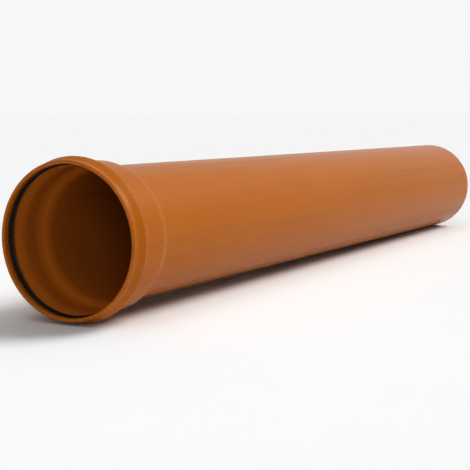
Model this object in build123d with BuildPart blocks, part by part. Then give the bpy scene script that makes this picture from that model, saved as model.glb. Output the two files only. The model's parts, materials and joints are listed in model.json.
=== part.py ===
"""Sewer pipe with one belled socket, a plain chamfered spigot and the rubber lip ring in its groove.

The pipe lies along X with its mouth at the low end, and its bead touches the floor.
All lengths are in millimetres. Sections are drawn as (place along the axis from the mouth, radius).
"""
from build123d import *
from math import atan, sin
import os

# Barrel
barrel_outer_radius = 80.0
barrel_wall = 4.7
overall_length = 1225.0
spigot_chamfer_length = 10.0
spigot_chamfer_depth = 2.7

# Socket, in radius: its bore takes the spigot of the next pipe
socket_clearance = 2.5
socket_wall = 4.7
bead_rise = 6.2
bead_wall = 4.3
mouth_flare = 2.8
lip_wall = 4.3

# Socket, along the axis from the mouth
lip_to_crest = 15.0
crest_length = 8.5
bead_back_length = 9.5
socket_straight_length = 34.0
shoulder_length = 13.0
groove_back_shift = 4.0
shoulder_shift = 9.0

# Bend radii of the formed wall; the lip is rounded to a share of its own wall
lip_round_share = 0.46
crest_round = 6.0
neck_round = 3.0
groove_round = 2.5
shoulder_round = 6.0
inner_shoulder_round = 9.0

# Sealing ring: a wedge in the groove with a hollowed front, its lip pressed back clear of the bore
ring_clearance = 0.3
ring_front_inset = 9.5
ring_nose_wall = 0.9
ring_hollow_depth = 3.5
ring_hollow_drop = 0.6
ring_lip_setback = 2.5
ring_lip_length = 4.0
ring_lip_clearance = 0.3
ring_tip_chamfer = 0.4
ring_body_share = 0.15

# Radii of the pipe that follow from the sizes above
barrel_bore_radius = barrel_outer_radius - barrel_wall
spigot_end_radius = barrel_outer_radius - spigot_chamfer_depth
socket_bore_radius = barrel_outer_radius + socket_clearance
socket_outer_radius = socket_bore_radius + socket_wall
bead_radius = socket_outer_radius + bead_rise
groove_radius = bead_radius - bead_wall
mouth_radius = socket_bore_radius + mouth_flare
lip_radius = mouth_radius + lip_wall
lip_round = lip_wall * lip_round_share

# Places along the pipe
crest_end = lip_to_crest + crest_length
neck_at = crest_end + bead_back_length
shoulder_at = neck_at + socket_straight_length
barrel_at = shoulder_at + shoulder_length
chamfer_at = overall_length - spigot_chamfer_length
groove_end = crest_end - groove_back_shift
groove_back_at = neck_at - groove_back_shift
inner_shoulder_at = shoulder_at - shoulder_shift
inner_barrel_at = barrel_at - shoulder_shift

# The ring's body follows the groove's front and back slopes at its clearance
front_slope = (groove_radius - mouth_radius) / lip_to_crest
back_slope = (groove_radius - socket_bore_radius) / bead_back_length
ring_outer_radius = groove_radius - ring_clearance
ring_nose_radius = mouth_radius + front_slope * (ring_front_inset - ring_clearance) - ring_clearance
ring_crest_end = groove_end - ring_clearance / sin(atan(back_slope)) + ring_clearance / back_slope
ring_back_at = ring_crest_end + bead_back_length * ring_body_share
ring_back_radius = ring_outer_radius - back_slope * (ring_back_at - ring_crest_end)

# The ring's hollow front and its sealing lip
ring_rim_radius = ring_nose_radius - ring_nose_wall
ring_hollow_at = ring_front_inset + ring_hollow_depth
ring_hollow_radius = ring_rim_radius - ring_hollow_drop
ring_seal_radius = socket_bore_radius + ring_lip_clearance
ring_lip_at = ring_front_inset + ring_lip_setback
ring_lip_end = ring_lip_at + ring_lip_length

half_length = overall_length / 2
section_plane = Plane(origin=(-half_length, 0, bead_radius), x_dir=(1, 0, 0), z_dir=(0, -1, 0))
pipe_axis = Axis(origin=(-half_length, 0, bead_radius), direction=(1, 0, 0))


def corner(section, along, radius):
    """Return the section's corner nearest a place along the axis and a radius."""
    return section.vertices().sort_by_distance((along, radius, 0))[0]


with BuildPart() as pipe:
    with BuildSketch(section_plane) as wall:
        with BuildLine():
            Polyline(
                (0, mouth_radius),
                (0, lip_radius),
                (lip_to_crest, bead_radius),
                (crest_end, bead_radius),
                (neck_at, socket_outer_radius),
                (shoulder_at, socket_outer_radius),
                (barrel_at, barrel_outer_radius),
                (chamfer_at, barrel_outer_radius),
                (overall_length, spigot_end_radius),
                (overall_length, barrel_bore_radius),
                (inner_barrel_at, barrel_bore_radius),
                (inner_shoulder_at, socket_bore_radius),
                (groove_back_at, socket_bore_radius),
                (groove_end, groove_radius),
                (lip_to_crest, groove_radius),
                close=True,
            )
        make_face()
        # The rolled lip and the bead
        fillet(corner(wall, 0, mouth_radius), lip_round)
        fillet(corner(wall, 0, lip_radius), lip_round)
        fillet(corner(wall, lip_to_crest, bead_radius), crest_round)
        fillet(corner(wall, crest_end, bead_radius), crest_round)
        fillet(corner(wall, neck_at, socket_outer_radius), neck_round)
        fillet(corner(wall, groove_back_at, socket_bore_radius), neck_round)
        fillet(corner(wall, groove_end, groove_radius), groove_round)
        fillet(corner(wall, lip_to_crest, groove_radius), groove_round)
        # The shoulder, outside and inside
        fillet(corner(wall, shoulder_at, socket_outer_radius), shoulder_round)
        fillet(corner(wall, barrel_at, barrel_outer_radius), shoulder_round)
        fillet(corner(wall, inner_barrel_at, barrel_bore_radius), inner_shoulder_round)
        fillet(corner(wall, inner_shoulder_at, socket_bore_radius), inner_shoulder_round)
    revolve(axis=pipe_axis)
pipe.part.label = "pipe"

with BuildPart() as sealing_ring:
    with BuildSketch(section_plane) as seal:
        with BuildLine():
            Polyline(
                (ring_front_inset, ring_rim_radius),
                (ring_front_inset, ring_nose_radius),
                (lip_to_crest, ring_outer_radius),
                (ring_crest_end, ring_outer_radius),
                (ring_back_at, ring_back_radius),
                (ring_lip_end, ring_seal_radius),
                (ring_lip_at, ring_seal_radius),
                (ring_hollow_at, ring_hollow_radius),
                close=True,
            )
        make_face()
        chamfer(corner(seal, ring_lip_end, ring_seal_radius), ring_tip_chamfer)
        chamfer(corner(seal, ring_lip_at, ring_seal_radius), ring_tip_chamfer)
    revolve(axis=pipe_axis)
sealing_ring.part.label = "sealing_ring"

os.makedirs("parts", exist_ok=True)
export_step(pipe.part, "parts/pipe.step")
export_step(sealing_ring.part, "parts/sealing_ring.step")
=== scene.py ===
"""Orange-brown sewer pipe with a belled, ring-sealed socket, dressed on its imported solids.

Lengths are in metres. The pipe's axis runs along X, from the open mouth to the plain spigot.
"""

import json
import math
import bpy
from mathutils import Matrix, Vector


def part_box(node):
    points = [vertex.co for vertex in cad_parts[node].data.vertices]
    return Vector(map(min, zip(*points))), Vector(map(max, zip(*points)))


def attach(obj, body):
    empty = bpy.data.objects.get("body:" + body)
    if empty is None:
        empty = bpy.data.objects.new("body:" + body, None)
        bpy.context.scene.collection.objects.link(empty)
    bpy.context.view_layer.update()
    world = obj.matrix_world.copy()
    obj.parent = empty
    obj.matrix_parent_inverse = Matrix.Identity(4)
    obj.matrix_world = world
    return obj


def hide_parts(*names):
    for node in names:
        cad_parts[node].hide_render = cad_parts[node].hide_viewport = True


bl_info = {
    "name": "Belled Sewer Pipe",
    "version": (1, 0, 0),
    "blender": (4, 5, 0),
    "location": "View3D > Sidebar > Pipe",
    "description": "Builds a socketed plastic pipe with its lip ring, and the studio it is shown in",
    "category": "Add Mesh",
}

from typing import NamedTuple

import bmesh
import bpy
from bpy.props import FloatProperty, FloatVectorProperty, PointerProperty
from mathutils import Matrix, Vector

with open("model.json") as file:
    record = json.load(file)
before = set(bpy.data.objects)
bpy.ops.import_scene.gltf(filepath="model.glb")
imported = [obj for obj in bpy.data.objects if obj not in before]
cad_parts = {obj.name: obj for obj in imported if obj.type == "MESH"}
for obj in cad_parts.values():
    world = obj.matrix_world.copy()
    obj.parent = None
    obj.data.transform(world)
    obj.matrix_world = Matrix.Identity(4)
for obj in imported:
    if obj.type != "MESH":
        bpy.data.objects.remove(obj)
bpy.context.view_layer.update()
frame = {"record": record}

MM = 0.001
MOUNTS = {mount["name"]: mount for mount in frame["record"]["mounts"]}
PIPE_LOW, PIPE_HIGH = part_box("pipe")
AXIS_HEIGHT = MOUNTS["spigot"]["pos_m"][2]
AXIS_POINT = Vector((0, 0, AXIS_HEIGHT))
AXIS = Vector((1, 0, 0))

# Fineness of the meshes
TURN_STEPS = 240
WALL_BEND_STEPS = 8
WALL_LONGEST_STEP = 25 * MM
RING_BEND_STEPS = 5
RING_LONGEST_STEP = 4 * MM
MERGE_DISTANCE = 0.001 * MM
FLOOR_SIDES = 128

# Strips that the room's light on the floor is added up from
ROOM_STRIPS = 200


class Noise(NamedTuple):
    """A noise in a finish: its patches to the metre along X, Y and Z, and the limits it is cut off at."""

    density: tuple
    detail: float
    roughness: float = 0.5
    limits: tuple = ()


PATCHES = Noise(density=(5.0, 14.0, 14.0), detail=3.0, limits=(0.35, 0.70))
STREAKS = Noise(density=(0.7, 75.0, 75.0), detail=3.0, limits=(0.40, 0.75))
SCRATCHES = Noise(density=(30.0, 260.0, 260.0), detail=4.0, roughness=0.65, limits=(0.46, 0.62))
DRAWN_LINES = Noise(density=(1.2, 420.0, 420.0), detail=2.0)
PLASTIC_GRAIN = Noise(density=(1300.0, 1300.0, 1300.0), detail=1.0)
RUBBER_BLOOM = Noise(density=(60.0, 60.0, 60.0), detail=4.0, roughness=0.6, limits=(0.40, 0.72))
RUBBER_GRAIN = Noise(density=(700.0, 700.0, 700.0), detail=2.0)
FLOOR_MOTTLE = Noise(density=(3.0, 3.0, 3.0), detail=4.0)


class SoftLight(NamedTuple):
    """A broad, even light: where it comes from and how wide it looks, in degrees, and its strength."""

    name: str
    azimuth: float
    height: float
    spread: float
    strength: float


SOFT_LIGHTS = (
    SoftLight("side_light", azimuth=130, height=42, spread=28, strength=2.35),
    SoftLight("top_light", azimuth=60, height=80, spread=60, strength=0.4),
    SoftLight("mouth_light", azimuth=242, height=10, spread=30, strength=0.8),
    SoftLight("front_light", azimuth=258, height=48, spread=40, strength=0.45),
)


def mount_radius(name):
    """Return a mount's radius in metres."""
    return MOUNTS[name]["dims"]["r_mm"] * MM


def length_property(name, description, default):
    """Return a property that holds a length."""
    return FloatProperty(
        name=name, description=description, default=default, min=0, unit="LENGTH", precision=5
    )


def angle_property(name, description, degrees):
    """Return a property that holds an angle."""
    return FloatProperty(name=name, description=description, default=math.radians(degrees), subtype="ANGLE")


def share_property(name, description, default):
    """Return a property that holds a share from 0 to 1."""
    return FloatProperty(
        name=name, description=description, default=default, min=0, max=1, subtype="FACTOR"
    )


def brightness_property(name, description, default):
    """Return a property that holds a brightness."""
    return FloatProperty(name=name, description=description, default=default, min=0)


def colour_property(name, description, default):
    """Return a property that holds a scene-linear colour."""
    return FloatVectorProperty(
        name=name, description=description, default=default, min=0, max=1, size=3, subtype="COLOR"
    )


class PipeSizes(bpy.types.PropertyGroup):
    """Sizes of the pipe's wall."""

    overall_length: length_property("Overall length", "Mouth to spigot end", PIPE_HIGH.x - PIPE_LOW.x)
    barrel_radius: length_property("Barrel radius", "Outside of the barrel", mount_radius("spigot"))
    bore_radius: length_property("Bore radius", "Inside of the barrel", mount_radius("barrel_bore"))
    socket_radius: length_property("Socket bore", "Inside of the socket", mount_radius("socket_bore"))
    bead_radius: length_property("Bead radius", "Crest of the bead, which stands on the floor", AXIS_HEIGHT)
    socket_wall: length_property("Socket wall", "Wall of the socket's cylinder", 4.7 * MM)
    bead_wall: length_property("Bead wall", "Wall over the groove", 4.3 * MM)
    mouth_flare: length_property("Mouth flare", "How far the mouth opens past the socket's bore", 2.8 * MM)
    lip_wall: length_property("Lip wall", "Wall at the mouth's edge", 4.3 * MM)
    rim_length: length_property("Rim length", "Straight rim from the mouth's edge to the bead", 8.0 * MM)
    inner_rim: length_property("Inner rim", "Straight inside of the mouth, ahead of the groove", 7.0 * MM)
    bead_front: length_property("Bead front", "Rise from the rim to the bead's crest", 9.0 * MM)
    crest_length: length_property("Crest length", "Flat of the bead's crest", 2.5 * MM)
    bead_back: length_property("Bead back", "Fall from the crest to the socket's cylinder", 11.5 * MM)
    socket_straight: length_property("Socket straight", "Length of the socket's cylinder", 36.0 * MM)
    shoulder: length_property("Shoulder", "Fall from the socket to the barrel", 13.0 * MM)
    groove_front: length_property("Groove front", "Mouth's edge to the groove's bottom", 15.0 * MM)
    groove_length: length_property("Groove length", "Flat of the groove's bottom", 4.5 * MM)
    groove_back: length_property("Groove back", "Rise from the groove to the socket's bore", 9.5 * MM)
    shoulder_shift: length_property("Shoulder shift", "How far the inner shoulder lies ahead", 9.0 * MM)
    chamfer_length: length_property("Chamfer length", "Chamfer on the spigot, along the axis", 10.0 * MM)
    chamfer_depth: length_property("Chamfer depth", "Chamfer on the spigot, in radius", 2.7 * MM)
    lip_round: length_property("Lip round", "Radius of the mouth's edge", 1.978 * MM)
    rim_round: length_property("Rim round", "Radius between the rim and the bead's front", 3.0 * MM)
    crest_round: length_property("Crest round", "Radius of the bead's bends", 1.5 * MM)
    neck_round: length_property("Neck round", "Radius where the bead meets the cylinder", 3.0 * MM)
    shoulder_round: length_property("Shoulder round", "Radius of the shoulder's outer bends", 12.0 * MM)
    inner_round: length_property("Inner round", "Radius of the shoulder's inner bends", 26.0 * MM)
    groove_round: length_property("Groove round", "Radius of the groove's bends", 2.5 * MM)
    groove_lead_round: length_property("Groove lead round", "Radius from the groove to the bore", 25.0 * MM)
    chamfer_round: length_property("Chamfer round", "Softness of the chamfer's start", 5.0 * MM)
    sawn_round: length_property("Sawn edge round", "Broken edge of the sawn end", 0.5 * MM)


class RingSizes(bpy.types.PropertyGroup):
    """Sizes of the lip ring in the groove."""

    clearance: length_property("Clearance", "Gap to the groove's walls", 0.3 * MM)
    front_inset: length_property("Front inset", "Mouth's edge to the ring's nose", 10.0 * MM)
    nose_wall: length_property("Nose wall", "Thickness of the nose at its tip", 0.9 * MM)
    hollow_depth: length_property("Hollow depth", "Depth of the hollow front, from the nose", 3.5 * MM)
    hollow_drop: length_property("Hollow drop", "Fall of the hollow towards its bottom", 0.6 * MM)
    lip_setback: length_property("Lip setback", "Nose to the sealing lip", 2.5 * MM)
    lip_length: length_property("Lip length", "Length of the sealing face", 1.5 * MM)
    lip_clearance: length_property("Lip clearance", "Sealing face to the socket's bore", 1.2 * MM)
    body_share: share_property("Body share", "Share of the groove's back that the body follows", 0.15)
    nose_round: length_property("Nose round", "Radius of the nose's edges", 0.42 * MM)
    hollow_round: length_property("Hollow round", "Radius of the hollow's bottom", 0.8 * MM)
    tip_round: length_property("Tip round", "Radius of the sealing lip's edges", 0.7 * MM)
    back_round: length_property("Back round", "Radius of the body's back edge", 0.5 * MM)


class PlasticFinish(bpy.types.PropertyGroup):
    """Finish of the rigid plastic."""

    colour: colour_property("Colour", "Orange-brown of the wall", (0.400, 0.125, 0.014))
    dark_colour: colour_property("Dark colour", "Darker streaks and patches", (0.370, 0.112, 0.012))
    scuffed_colour: colour_property("Scuffed colour", "Paler plastic on rubbed ends", (0.520, 0.205, 0.060))
    scuffing: share_property("Scuffing", "Strength of the scuffed colour", 0.20)
    rubbed_length: length_property("Rubbed length", "How far each end is rubbed", 4.0 * MM)
    rubbed_edge: length_property("Rubbed edge", "Stretch of each end that is rubbed most", 0.4 * MM)
    roughness: share_property("Roughness", "Roughness of the clean wall", 0.24)
    streak_roughness: share_property("Streak roughness", "Roughness that the streaks add", 0.05)
    scuffed_roughness: share_property("Scuffed roughness", "Roughness of rubbed ends", 0.55)
    gloss: share_property("Gloss", "Strength of the reflections", 0.07)
    refraction: FloatProperty(name="Refraction", description="Refractive index", default=1.5, min=1)
    line_depth: length_property("Line depth", "Height of the drawn lines along the wall", 0.005 * MM)
    grain_depth: length_property("Grain depth", "Height of the fine grain", 0.003 * MM)


class RubberFinish(bpy.types.PropertyGroup):
    """Finish of the rubber ring."""

    colour: colour_property("Colour", "Black of the rubber", (0.012, 0.011, 0.010))
    bloom_colour: colour_property("Bloom colour", "Grey bloom on the rubber's face", (0.026, 0.024, 0.021))
    roughness: share_property("Roughness", "Roughness of the rubber", 0.28)
    bloom_roughness: share_property("Bloom roughness", "Roughness that the bloom adds", 0.12)
    grain_depth: length_property("Grain depth", "Height of the moulded grain", 0.012 * MM)


class StudioSettings(bpy.types.PropertyGroup):
    """Camera, floor and light."""

    lens: FloatProperty(name="Lens", description="Focal length", default=89.69, unit="CAMERA")
    azimuth: angle_property("Azimuth", "Turn of the view from +Y towards +X", 61.807)
    elevation: angle_property("Elevation", "How far the camera looks down", 5.769)
    distance: length_property("Distance", "Camera to the point it looks at", 1.6290)
    aim_along: FloatProperty(
        name="Aim along", description="Point looked at, along the pipe", default=-0.2197, unit="LENGTH"
    )
    aim_height: length_property("Aim height", "Point looked at, above the floor", 0.0659)
    floor_radius: length_property("Floor radius", "Radius of the round floor", 30.0)
    floor_colour: colour_property("Floor colour", "Pale floor", (0.84, 0.84, 0.84))
    floor_mottle: share_property("Floor mottle", "How much darker the floor's patches are", 0.03)
    floor_roughness: share_property("Floor roughness", "Roughness of the floor", 0.9)
    glow: brightness_property("Glow", "Brightness of the room behind the pipe", 0.66)
    dusk: brightness_property("Dusk", "Brightness of the room behind the camera", 0.05)
    glow_start: share_property("Glow start", "Lean towards +X where the glow begins", 0.3)
    glow_end: share_property("Glow end", "Lean towards +X where the glow is full", 0.8)
    lamp_height: length_property("Lamp height", "Lamp over the mouth, above the floor", 1.2)
    lamp_size: length_property("Lamp size", "Side of the square lamp", 1.0)
    lamp_power: FloatProperty(name="Lamp power", description="Power of the lamp", default=1.0, unit="POWER")


def wall_section(sizes):
    """Return the wall's section as (place along the axis, radius, bend radius) corners."""
    socket_outer = sizes.socket_radius + sizes.socket_wall
    mouth = sizes.socket_radius + sizes.mouth_flare
    rim = mouth + sizes.lip_wall
    groove = sizes.bead_radius - sizes.bead_wall
    groove_end = sizes.groove_front + sizes.groove_length
    crest = sizes.rim_length + sizes.bead_front
    neck = crest + sizes.crest_length + sizes.bead_back
    shoulder_start = neck + sizes.socket_straight
    shoulder_end = shoulder_start + sizes.shoulder
    chamfer_start = sizes.overall_length - sizes.chamfer_length
    outside = [
        (0, rim, sizes.lip_round),
        (sizes.rim_length, rim, sizes.rim_round),
        (crest, sizes.bead_radius, sizes.crest_round),
        (crest + sizes.crest_length, sizes.bead_radius, sizes.crest_round),
        (neck, socket_outer, sizes.neck_round),
        (shoulder_start, socket_outer, sizes.shoulder_round),
        (shoulder_end, sizes.barrel_radius, sizes.shoulder_round),
        (chamfer_start, sizes.barrel_radius, sizes.chamfer_round),
        (sizes.overall_length, sizes.barrel_radius - sizes.chamfer_depth, sizes.sawn_round),
    ]
    inside = [
        (sizes.overall_length, sizes.bore_radius, sizes.sawn_round),
        (shoulder_end - sizes.shoulder_shift, sizes.bore_radius, sizes.inner_round),
        (shoulder_start - sizes.shoulder_shift, sizes.socket_radius, sizes.inner_round),
        (groove_end + sizes.groove_back, sizes.socket_radius, sizes.groove_lead_round),
        (groove_end, groove, sizes.groove_round),
        (sizes.groove_front, groove, sizes.groove_round),
        (sizes.inner_rim, mouth, sizes.groove_round),
        (0, mouth, sizes.lip_round),
    ]
    return outside + inside


def ring_section(sizes, ring):
    """Return the lip ring's section as (place along the axis, radius, bend radius) corners."""
    groove = sizes.bead_radius - sizes.bead_wall
    groove_end = sizes.groove_front + sizes.groove_length
    mouth = sizes.socket_radius + sizes.mouth_flare
    front_slope = (groove - mouth) / (sizes.groove_front - sizes.inner_rim)
    back_slope = (groove - sizes.socket_radius) / sizes.groove_back
    outer = groove - ring.clearance
    nose_depth = ring.front_inset - sizes.inner_rim - ring.clearance
    nose = mouth + front_slope * nose_depth - ring.clearance
    rim = nose - ring.nose_wall
    crest_end = groove_end - ring.clearance / math.sin(math.atan(back_slope)) + ring.clearance / back_slope
    back = crest_end + sizes.groove_back * ring.body_share
    back_radius = outer - back_slope * (back - crest_end)
    seal = sizes.socket_radius + ring.lip_clearance
    lip = ring.front_inset + ring.lip_setback
    return [
        (ring.front_inset, rim, ring.nose_round),
        (ring.front_inset, nose, ring.nose_round),
        (sizes.groove_front, outer, sizes.groove_round),
        (crest_end, outer, sizes.groove_round),
        (back, back_radius, ring.back_round),
        (lip + ring.lip_length, seal, ring.tip_round),
        (lip, seal, ring.tip_round),
        (ring.front_inset + ring.hollow_depth, rim - ring.hollow_drop, ring.hollow_round),
    ]


def round_corner(bm, corner, radius, steps):
    """Round one corner of a flat section to a radius."""
    first, second = (edge.other_vert(corner).co - corner.co for edge in corner.link_edges)
    turn = math.pi - first.angle(second)
    bmesh.ops.bevel(
        bm,
        geom=[corner],
        offset=radius * math.tan(turn / 2),
        offset_type="OFFSET",
        affect="VERTICES",
        segments=steps,
        profile=0.5,
        material=-1,
        clamp_overlap=False,
    )


def turned_piece(name, section, bend_steps, longest_step):
    """Turn a section round the pipe's axis into one closed piece."""
    bm = bmesh.new()
    corners = [bm.verts.new((PIPE_LOW.x + along, 0, AXIS_HEIGHT + radius)) for along, radius, _ in section]
    bm.faces.new(corners)
    for corner, (_, _, bend) in zip(corners, section):
        round_corner(bm, corner, bend, bend_steps)
    for edge in list(bm.edges):
        cuts = math.ceil(edge.calc_length() / longest_step) - 1
        if cuts:
            bmesh.ops.subdivide_edges(bm, edges=[edge], cuts=cuts)
    bmesh.ops.delete(bm, geom=list(bm.faces), context="FACES_ONLY")
    bmesh.ops.spin(
        bm,
        geom=list(bm.verts) + list(bm.edges),
        cent=AXIS_POINT,
        axis=AXIS,
        angle=math.tau,
        steps=TURN_STEPS,
        use_merge=True,
    )
    bmesh.ops.remove_doubles(bm, verts=list(bm.verts), dist=MERGE_DISTANCE)
    bmesh.ops.recalc_face_normals(bm, faces=list(bm.faces))
    if not all(edge.is_manifold for edge in bm.edges):
        raise RuntimeError(f"{name} isn't closed")
    for face in bm.faces:
        face.smooth = True
    return placed_object(name, bm)


def placed_object(name, bm):
    """Make an object at the origin from a bmesh, and put it in the scene."""
    mesh = bpy.data.meshes.new(name)
    bm.to_mesh(mesh)
    bm.free()
    placed = bpy.data.objects.new(name, mesh)
    bpy.context.scene.collection.objects.link(placed)
    return placed


class NodeSheet:
    """A material's node tree, with short calls for the nodes that the finishes use."""

    def __init__(self, name):
        """Start a material with its shader and its Object coordinates."""
        self.material = bpy.data.materials.new(name)
        self.material.use_nodes = True
        self.nodes = self.material.node_tree.nodes
        self.links = self.material.node_tree.links
        self.shader = next(node for node in self.nodes if node.type == "BSDF_PRINCIPLED")
        self.place = self.nodes.new("ShaderNodeTexCoord").outputs["Object"]

    def link(self, source, target):
        """Join an output to an input."""
        self.links.new(source, target)

    def feed(self, source, name):
        """Join an output to one of the shader's inputs."""
        self.link(source, self.shader.inputs[name])

    def stretched(self, scale):
        """Object coordinates scaled along each axis, centred on the pipe's axis."""
        mapping = self.nodes.new("ShaderNodeMapping")
        mapping.inputs["Location"].default_value = -AXIS_POINT * Vector(scale)
        mapping.inputs["Scale"].default_value = scale
        self.link(self.place, mapping.inputs["Vector"])
        return mapping.outputs["Vector"]

    def noise(self, noise):
        """A noise, cut off smoothly at its limits where it has them."""
        node = self.nodes.new("ShaderNodeTexNoise")
        node.inputs["Scale"].default_value = 1.0
        node.inputs["Detail"].default_value = noise.detail
        node.inputs["Roughness"].default_value = noise.roughness
        self.link(self.stretched(noise.density), node.inputs["Vector"])
        if noise.limits:
            return self.rise(node.outputs["Fac"], *noise.limits)
        return node.outputs["Fac"]

    def rise(self, value, low, high):
        """Rise smoothly from 0 to 1 while a value goes from a low to a high limit."""
        rise = self.nodes.new("ShaderNodeMapRange")
        rise.interpolation_type = "SMOOTHSTEP"
        rise.inputs["From Min"].default_value = low
        rise.inputs["From Max"].default_value = high
        self.link(value, rise.inputs["Value"])
        return rise.outputs["Result"]

    def calculate(self, operation, first, second=None):
        """Work on a value, alone or with another value or a number."""
        node = self.nodes.new("ShaderNodeMath")
        node.operation = operation
        self.link(first, node.inputs[0])
        if isinstance(second, (int, float)):
            node.inputs[1].default_value = second
        elif second is not None:
            self.link(second, node.inputs[1])
        return node.outputs["Value"]

    def mix(self, factor, first, second):
        """Mix two colours, each a colour or an output."""
        node = self.nodes.new("ShaderNodeMix")
        node.data_type = "RGBA"
        self.link(factor, node.inputs["Factor"])
        colours = [socket for socket in node.inputs if socket.type == "RGBA"]
        for socket, colour in zip(colours, (first, second)):
            if isinstance(colour, bpy.types.NodeSocket):
                self.link(colour, socket)
            else:
                socket.default_value = (*colour, 1.0)
        return next(socket for socket in node.outputs if socket.type == "RGBA")

    def bump(self, height, depth, onto=None):
        """Raise the surface by a height from 0 to 1 times a depth."""
        node = self.nodes.new("ShaderNodeBump")
        node.inputs["Strength"].default_value = 1.0
        node.inputs["Distance"].default_value = depth
        self.link(height, node.inputs["Height"])
        if onto:
            self.link(onto, node.inputs["Normal"])
        return node.outputs["Normal"]


def pipe_ends(sheet, finish):
    """Rise from 0 to 1 over the rubbed stretch at each end of the pipe."""
    place = sheet.nodes.new("ShaderNodeSeparateXYZ")
    sheet.link(sheet.place, place.inputs["Vector"])
    from_middle = sheet.calculate("ABSOLUTE", place.outputs["X"])
    return sheet.rise(from_middle, PIPE_HIGH.x - finish.rubbed_length, PIPE_HIGH.x - finish.rubbed_edge)


def plastic_material(finish):
    """Satin orange-brown plastic: drawn lines along the wall, soft patches, fine grain and rubbed ends."""
    sheet = NodeSheet("orange_brown_plastic")
    streaks = sheet.noise(STREAKS)
    both = sheet.calculate("ADD", sheet.noise(PATCHES), streaks)
    dark = sheet.calculate("DIVIDE", both, 2)
    rubbed = sheet.calculate("MULTIPLY", pipe_ends(sheet, finish), sheet.noise(SCRATCHES))
    scuffed = sheet.calculate("MULTIPLY", rubbed, finish.scuffing)
    colour = sheet.mix(dark, finish.colour, finish.dark_colour)
    sheet.feed(sheet.mix(scuffed, colour, finish.scuffed_colour), "Base Color")

    streaked = sheet.calculate("MULTIPLY", streaks, finish.streak_roughness)
    clean = sheet.calculate("ADD", streaked, finish.roughness)
    rougher = sheet.calculate("MULTIPLY", rubbed, finish.scuffed_roughness - finish.roughness)
    sheet.feed(sheet.calculate("ADD", clean, rougher), "Roughness")

    lined = sheet.bump(sheet.noise(DRAWN_LINES), finish.line_depth)
    sheet.feed(sheet.bump(sheet.noise(PLASTIC_GRAIN), finish.grain_depth, lined), "Normal")
    sheet.shader.inputs["IOR"].default_value = finish.refraction
    sheet.shader.inputs["Specular IOR Level"].default_value = finish.gloss
    return sheet.material


def rubber_material(finish):
    """Smooth black rubber with a grey bloom and a moulded grain."""
    sheet = NodeSheet("black_rubber")
    bloom = sheet.noise(RUBBER_BLOOM)
    sheet.feed(sheet.mix(bloom, finish.colour, finish.bloom_colour), "Base Color")
    bloomed = sheet.calculate("MULTIPLY", bloom, finish.bloom_roughness)
    sheet.feed(sheet.calculate("ADD", bloomed, finish.roughness), "Roughness")
    sheet.feed(sheet.bump(sheet.noise(RUBBER_GRAIN), finish.grain_depth), "Normal")
    return sheet.material


def floor_material(studio):
    """Pale matt floor with a faint mottle."""
    sheet = NodeSheet("pale_floor")
    darker = [(1 - studio.floor_mottle) * channel for channel in studio.floor_colour]
    sheet.feed(sheet.mix(sheet.noise(FLOOR_MOTTLE), studio.floor_colour, darker), "Base Color")
    sheet.shader.inputs["Roughness"].default_value = studio.floor_roughness
    sheet.shader.inputs["Specular IOR Level"].default_value = 0.0
    return sheet.material


def dress(piece, material, node):
    """Give a piece its material, and let it stand for a solid of the pipe."""
    piece.data.materials.append(material)
    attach(piece, "root")
    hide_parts(node)


class PIPEKIT_OT_wall(bpy.types.Operator):
    """Build the pipe's wall: barrel, shoulder, socket, bead and lip"""

    bl_idname = "pipekit.wall"
    bl_label = "Pipe Wall"

    def execute(self, context):
        section = wall_section(context.scene.pipe_sizes)
        piece = turned_piece("pipe_wall", section, WALL_BEND_STEPS, WALL_LONGEST_STEP)
        dress(piece, plastic_material(context.scene.pipe_plastic), "pipe")
        return {"FINISHED"}


class PIPEKIT_OT_ring(bpy.types.Operator):
    """Build the rubber lip ring that sits in the socket's groove"""

    bl_idname = "pipekit.ring"
    bl_label = "Lip Ring"

    def execute(self, context):
        section = ring_section(context.scene.pipe_sizes, context.scene.pipe_ring)
        piece = turned_piece("lip_ring", section, RING_BEND_STEPS, RING_LONGEST_STEP)
        dress(piece, rubber_material(context.scene.pipe_rubber), "sealing_ring")
        return {"FINISHED"}


def view_direction(azimuth, elevation):
    """Return the way a view looks, turned from +Y towards +X and down from level."""
    level = math.cos(elevation)
    return Vector((math.sin(azimuth) * level, math.cos(azimuth) * level, -math.sin(elevation)))


def add_camera(studio):
    """Place the camera and look along its direction."""
    camera = bpy.data.objects.new("camera", bpy.data.cameras.new("camera"))
    camera.data.lens = studio.lens
    direction = view_direction(studio.azimuth, studio.elevation)
    camera.location = Vector((studio.aim_along, 0, studio.aim_height)) - direction * studio.distance
    camera.rotation_euler = direction.to_track_quat("-Z", "Y").to_euler()
    bpy.context.scene.collection.objects.link(camera)
    bpy.context.scene.camera = camera


def add_floor(studio, sizes):
    """Lay a round floor under the bead and the spigot, the two places that the pipe rests on."""
    bm = bmesh.new()
    bmesh.ops.create_circle(bm, cap_ends=True, segments=FLOOR_SIDES, radius=studio.floor_radius)
    bead_at = PIPE_LOW.x + sizes.rim_length + sizes.bead_front + sizes.crest_length
    spigot_at = PIPE_HIGH.x - sizes.chamfer_length
    slope = math.atan2(sizes.bead_radius - sizes.barrel_radius, spigot_at - bead_at)
    tilt = Matrix.Rotation(-slope, 3, "Y")
    bmesh.ops.rotate(bm, verts=list(bm.verts), cent=(bead_at, 0, 0), matrix=tilt)
    floor = placed_object("floor", bm)
    floor.data.materials.append(floor_material(studio))


def add_soft_light(soft_light):
    """Shine a broad, even light from its direction."""
    light = bpy.data.objects.new(soft_light.name, bpy.data.lights.new(soft_light.name, "SUN"))
    light.data.angle = math.radians(soft_light.spread)
    light.data.energy = soft_light.strength
    direction = view_direction(math.radians(soft_light.azimuth + 180), math.radians(soft_light.height))
    light.location = AXIS_POINT - direction
    light.rotation_euler = direction.to_track_quat("-Z", "Y").to_euler()
    bpy.context.scene.collection.objects.link(light)


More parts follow.
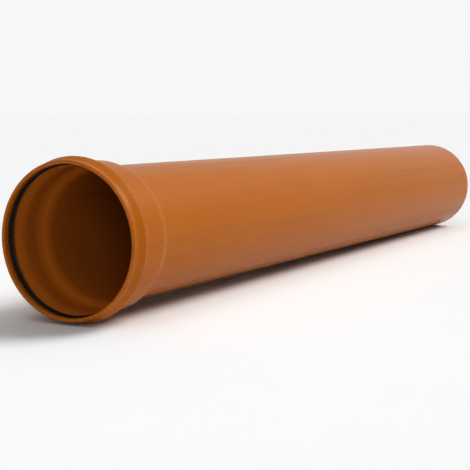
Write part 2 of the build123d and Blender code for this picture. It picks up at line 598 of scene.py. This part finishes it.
def add_mouth_lamp(studio):
    """Hang a square lamp over the mouth, facing down."""
    lamp = bpy.data.objects.new("mouth_lamp", bpy.data.lights.new("mouth_lamp", "AREA"))
    lamp.data.size = studio.lamp_size
    lamp.data.energy = studio.lamp_power
    lamp.location = (PIPE_LOW.x, 0, studio.lamp_height)
    bpy.context.scene.collection.objects.link(lamp)


def room_light(studio):
    """Return what the room gives a level floor: its brightness averaged over a disc, in strips."""
    strips = [(2 * number + 1) / ROOM_STRIPS - 1 for number in range(ROOM_STRIPS)]
    widths = [math.sqrt(1 - lean * lean) for lean in strips]
    rises = [(lean - studio.glow_start) / (studio.glow_end - studio.glow_start) for lean in strips]
    glowing = sum(width * min(max(rise, 0), 1) for width, rise in zip(widths, rises)) / sum(widths)
    return studio.dusk + (studio.glow - studio.dusk) * glowing


def floor_brightness(studio):
    """Return how bright the floor looks clear of the pipe, under the room and the soft lights."""
    falls = [light.strength * math.sin(math.radians(light.height)) for light in SOFT_LIGHTS]
    return (room_light(studio) + sum(falls) / math.pi) * studio.floor_colour[0]


def add_surround(studio):
    """Light the room from behind the pipe, and show a backdrop as bright as the floor."""
    world = bpy.data.worlds.new("pale_room")
    world.use_nodes = True
    nodes, links = world.node_tree.nodes, world.node_tree.links
    way = nodes.new("ShaderNodeSeparateXYZ")
    links.new(nodes.new("ShaderNodeTexCoord").outputs["Generated"], way.inputs["Vector"])
    glow = nodes.new("ShaderNodeMapRange")
    glow.inputs["From Min"].default_value = studio.glow_start
    glow.inputs["From Max"].default_value = studio.glow_end
    glow.inputs["To Min"].default_value = studio.dusk
    glow.inputs["To Max"].default_value = studio.glow
    links.new(way.outputs["X"], glow.inputs["Value"])
    seen = nodes.new("ShaderNodeMapRange")
    seen.inputs["To Max"].default_value = floor_brightness(studio)
    links.new(glow.outputs["Result"], seen.inputs["To Min"])
    links.new(nodes.new("ShaderNodeLightPath").outputs["Is Camera Ray"], seen.inputs["Value"])
    background = nodes["Background"]
    background.inputs["Color"].default_value = (1, 1, 1, 1)
    links.new(seen.outputs["Result"], background.inputs["Strength"])
    bpy.context.scene.world = world


class PIPEKIT_OT_stage(bpy.types.Operator):
    """Set up the pale floor, the soft lights and the camera"""

    bl_idname = "pipekit.stage"
    bl_label = "Studio"

    def execute(self, context):
        studio = context.scene.pipe_studio
        add_floor(studio, context.scene.pipe_sizes)
        for soft_light in SOFT_LIGHTS:
            add_soft_light(soft_light)
        add_mouth_lamp(studio)
        add_surround(studio)
        add_camera(studio)
        context.scene.view_settings.view_transform = "Standard"
        context.scene.view_settings.look = "Medium High Contrast"
        return {"FINISHED"}


class PIPEKIT_PT_panel(bpy.types.Panel):
    """Sizes, finishes and pieces of the pipe"""

    bl_idname = "PIPEKIT_PT_panel"
    bl_label = "Belled Sewer Pipe"
    bl_space_type = "VIEW_3D"
    bl_region_type = "UI"
    bl_category = "Pipe"

    def draw(self, context):
        layout = self.layout
        for operator in OPERATORS:
            layout.operator(operator.bl_idname)
        for name in GROUPS:
            group = getattr(context.scene, name)
            box = layout.box()
            for key in group.__annotations__:
                box.prop(group, key)


GROUPS = {
    "pipe_sizes": PipeSizes,
    "pipe_ring": RingSizes,
    "pipe_plastic": PlasticFinish,
    "pipe_rubber": RubberFinish,
    "pipe_studio": StudioSettings,
}
OPERATORS = (PIPEKIT_OT_wall, PIPEKIT_OT_ring, PIPEKIT_OT_stage)
CLASSES = (*GROUPS.values(), *OPERATORS, PIPEKIT_PT_panel)


def register():
    """Register the classes and hang their settings on the scene."""
    for cls in CLASSES:
        bpy.utils.register_class(cls)
    for name, group in GROUPS.items():
        setattr(bpy.types.Scene, name, PointerProperty(type=group))


def unregister():
    """Take the settings and the classes away again."""
    for name in GROUPS:
        delattr(bpy.types.Scene, name)
    for cls in reversed(CLASSES):
        bpy.utils.unregister_class(cls)


def main():
    """Build the pieces and the studio."""
    register()
    bpy.ops.pipekit.wall()
    bpy.ops.pipekit.ring()
    bpy.ops.pipekit.stage()


if __name__ == "__main__":
    main()
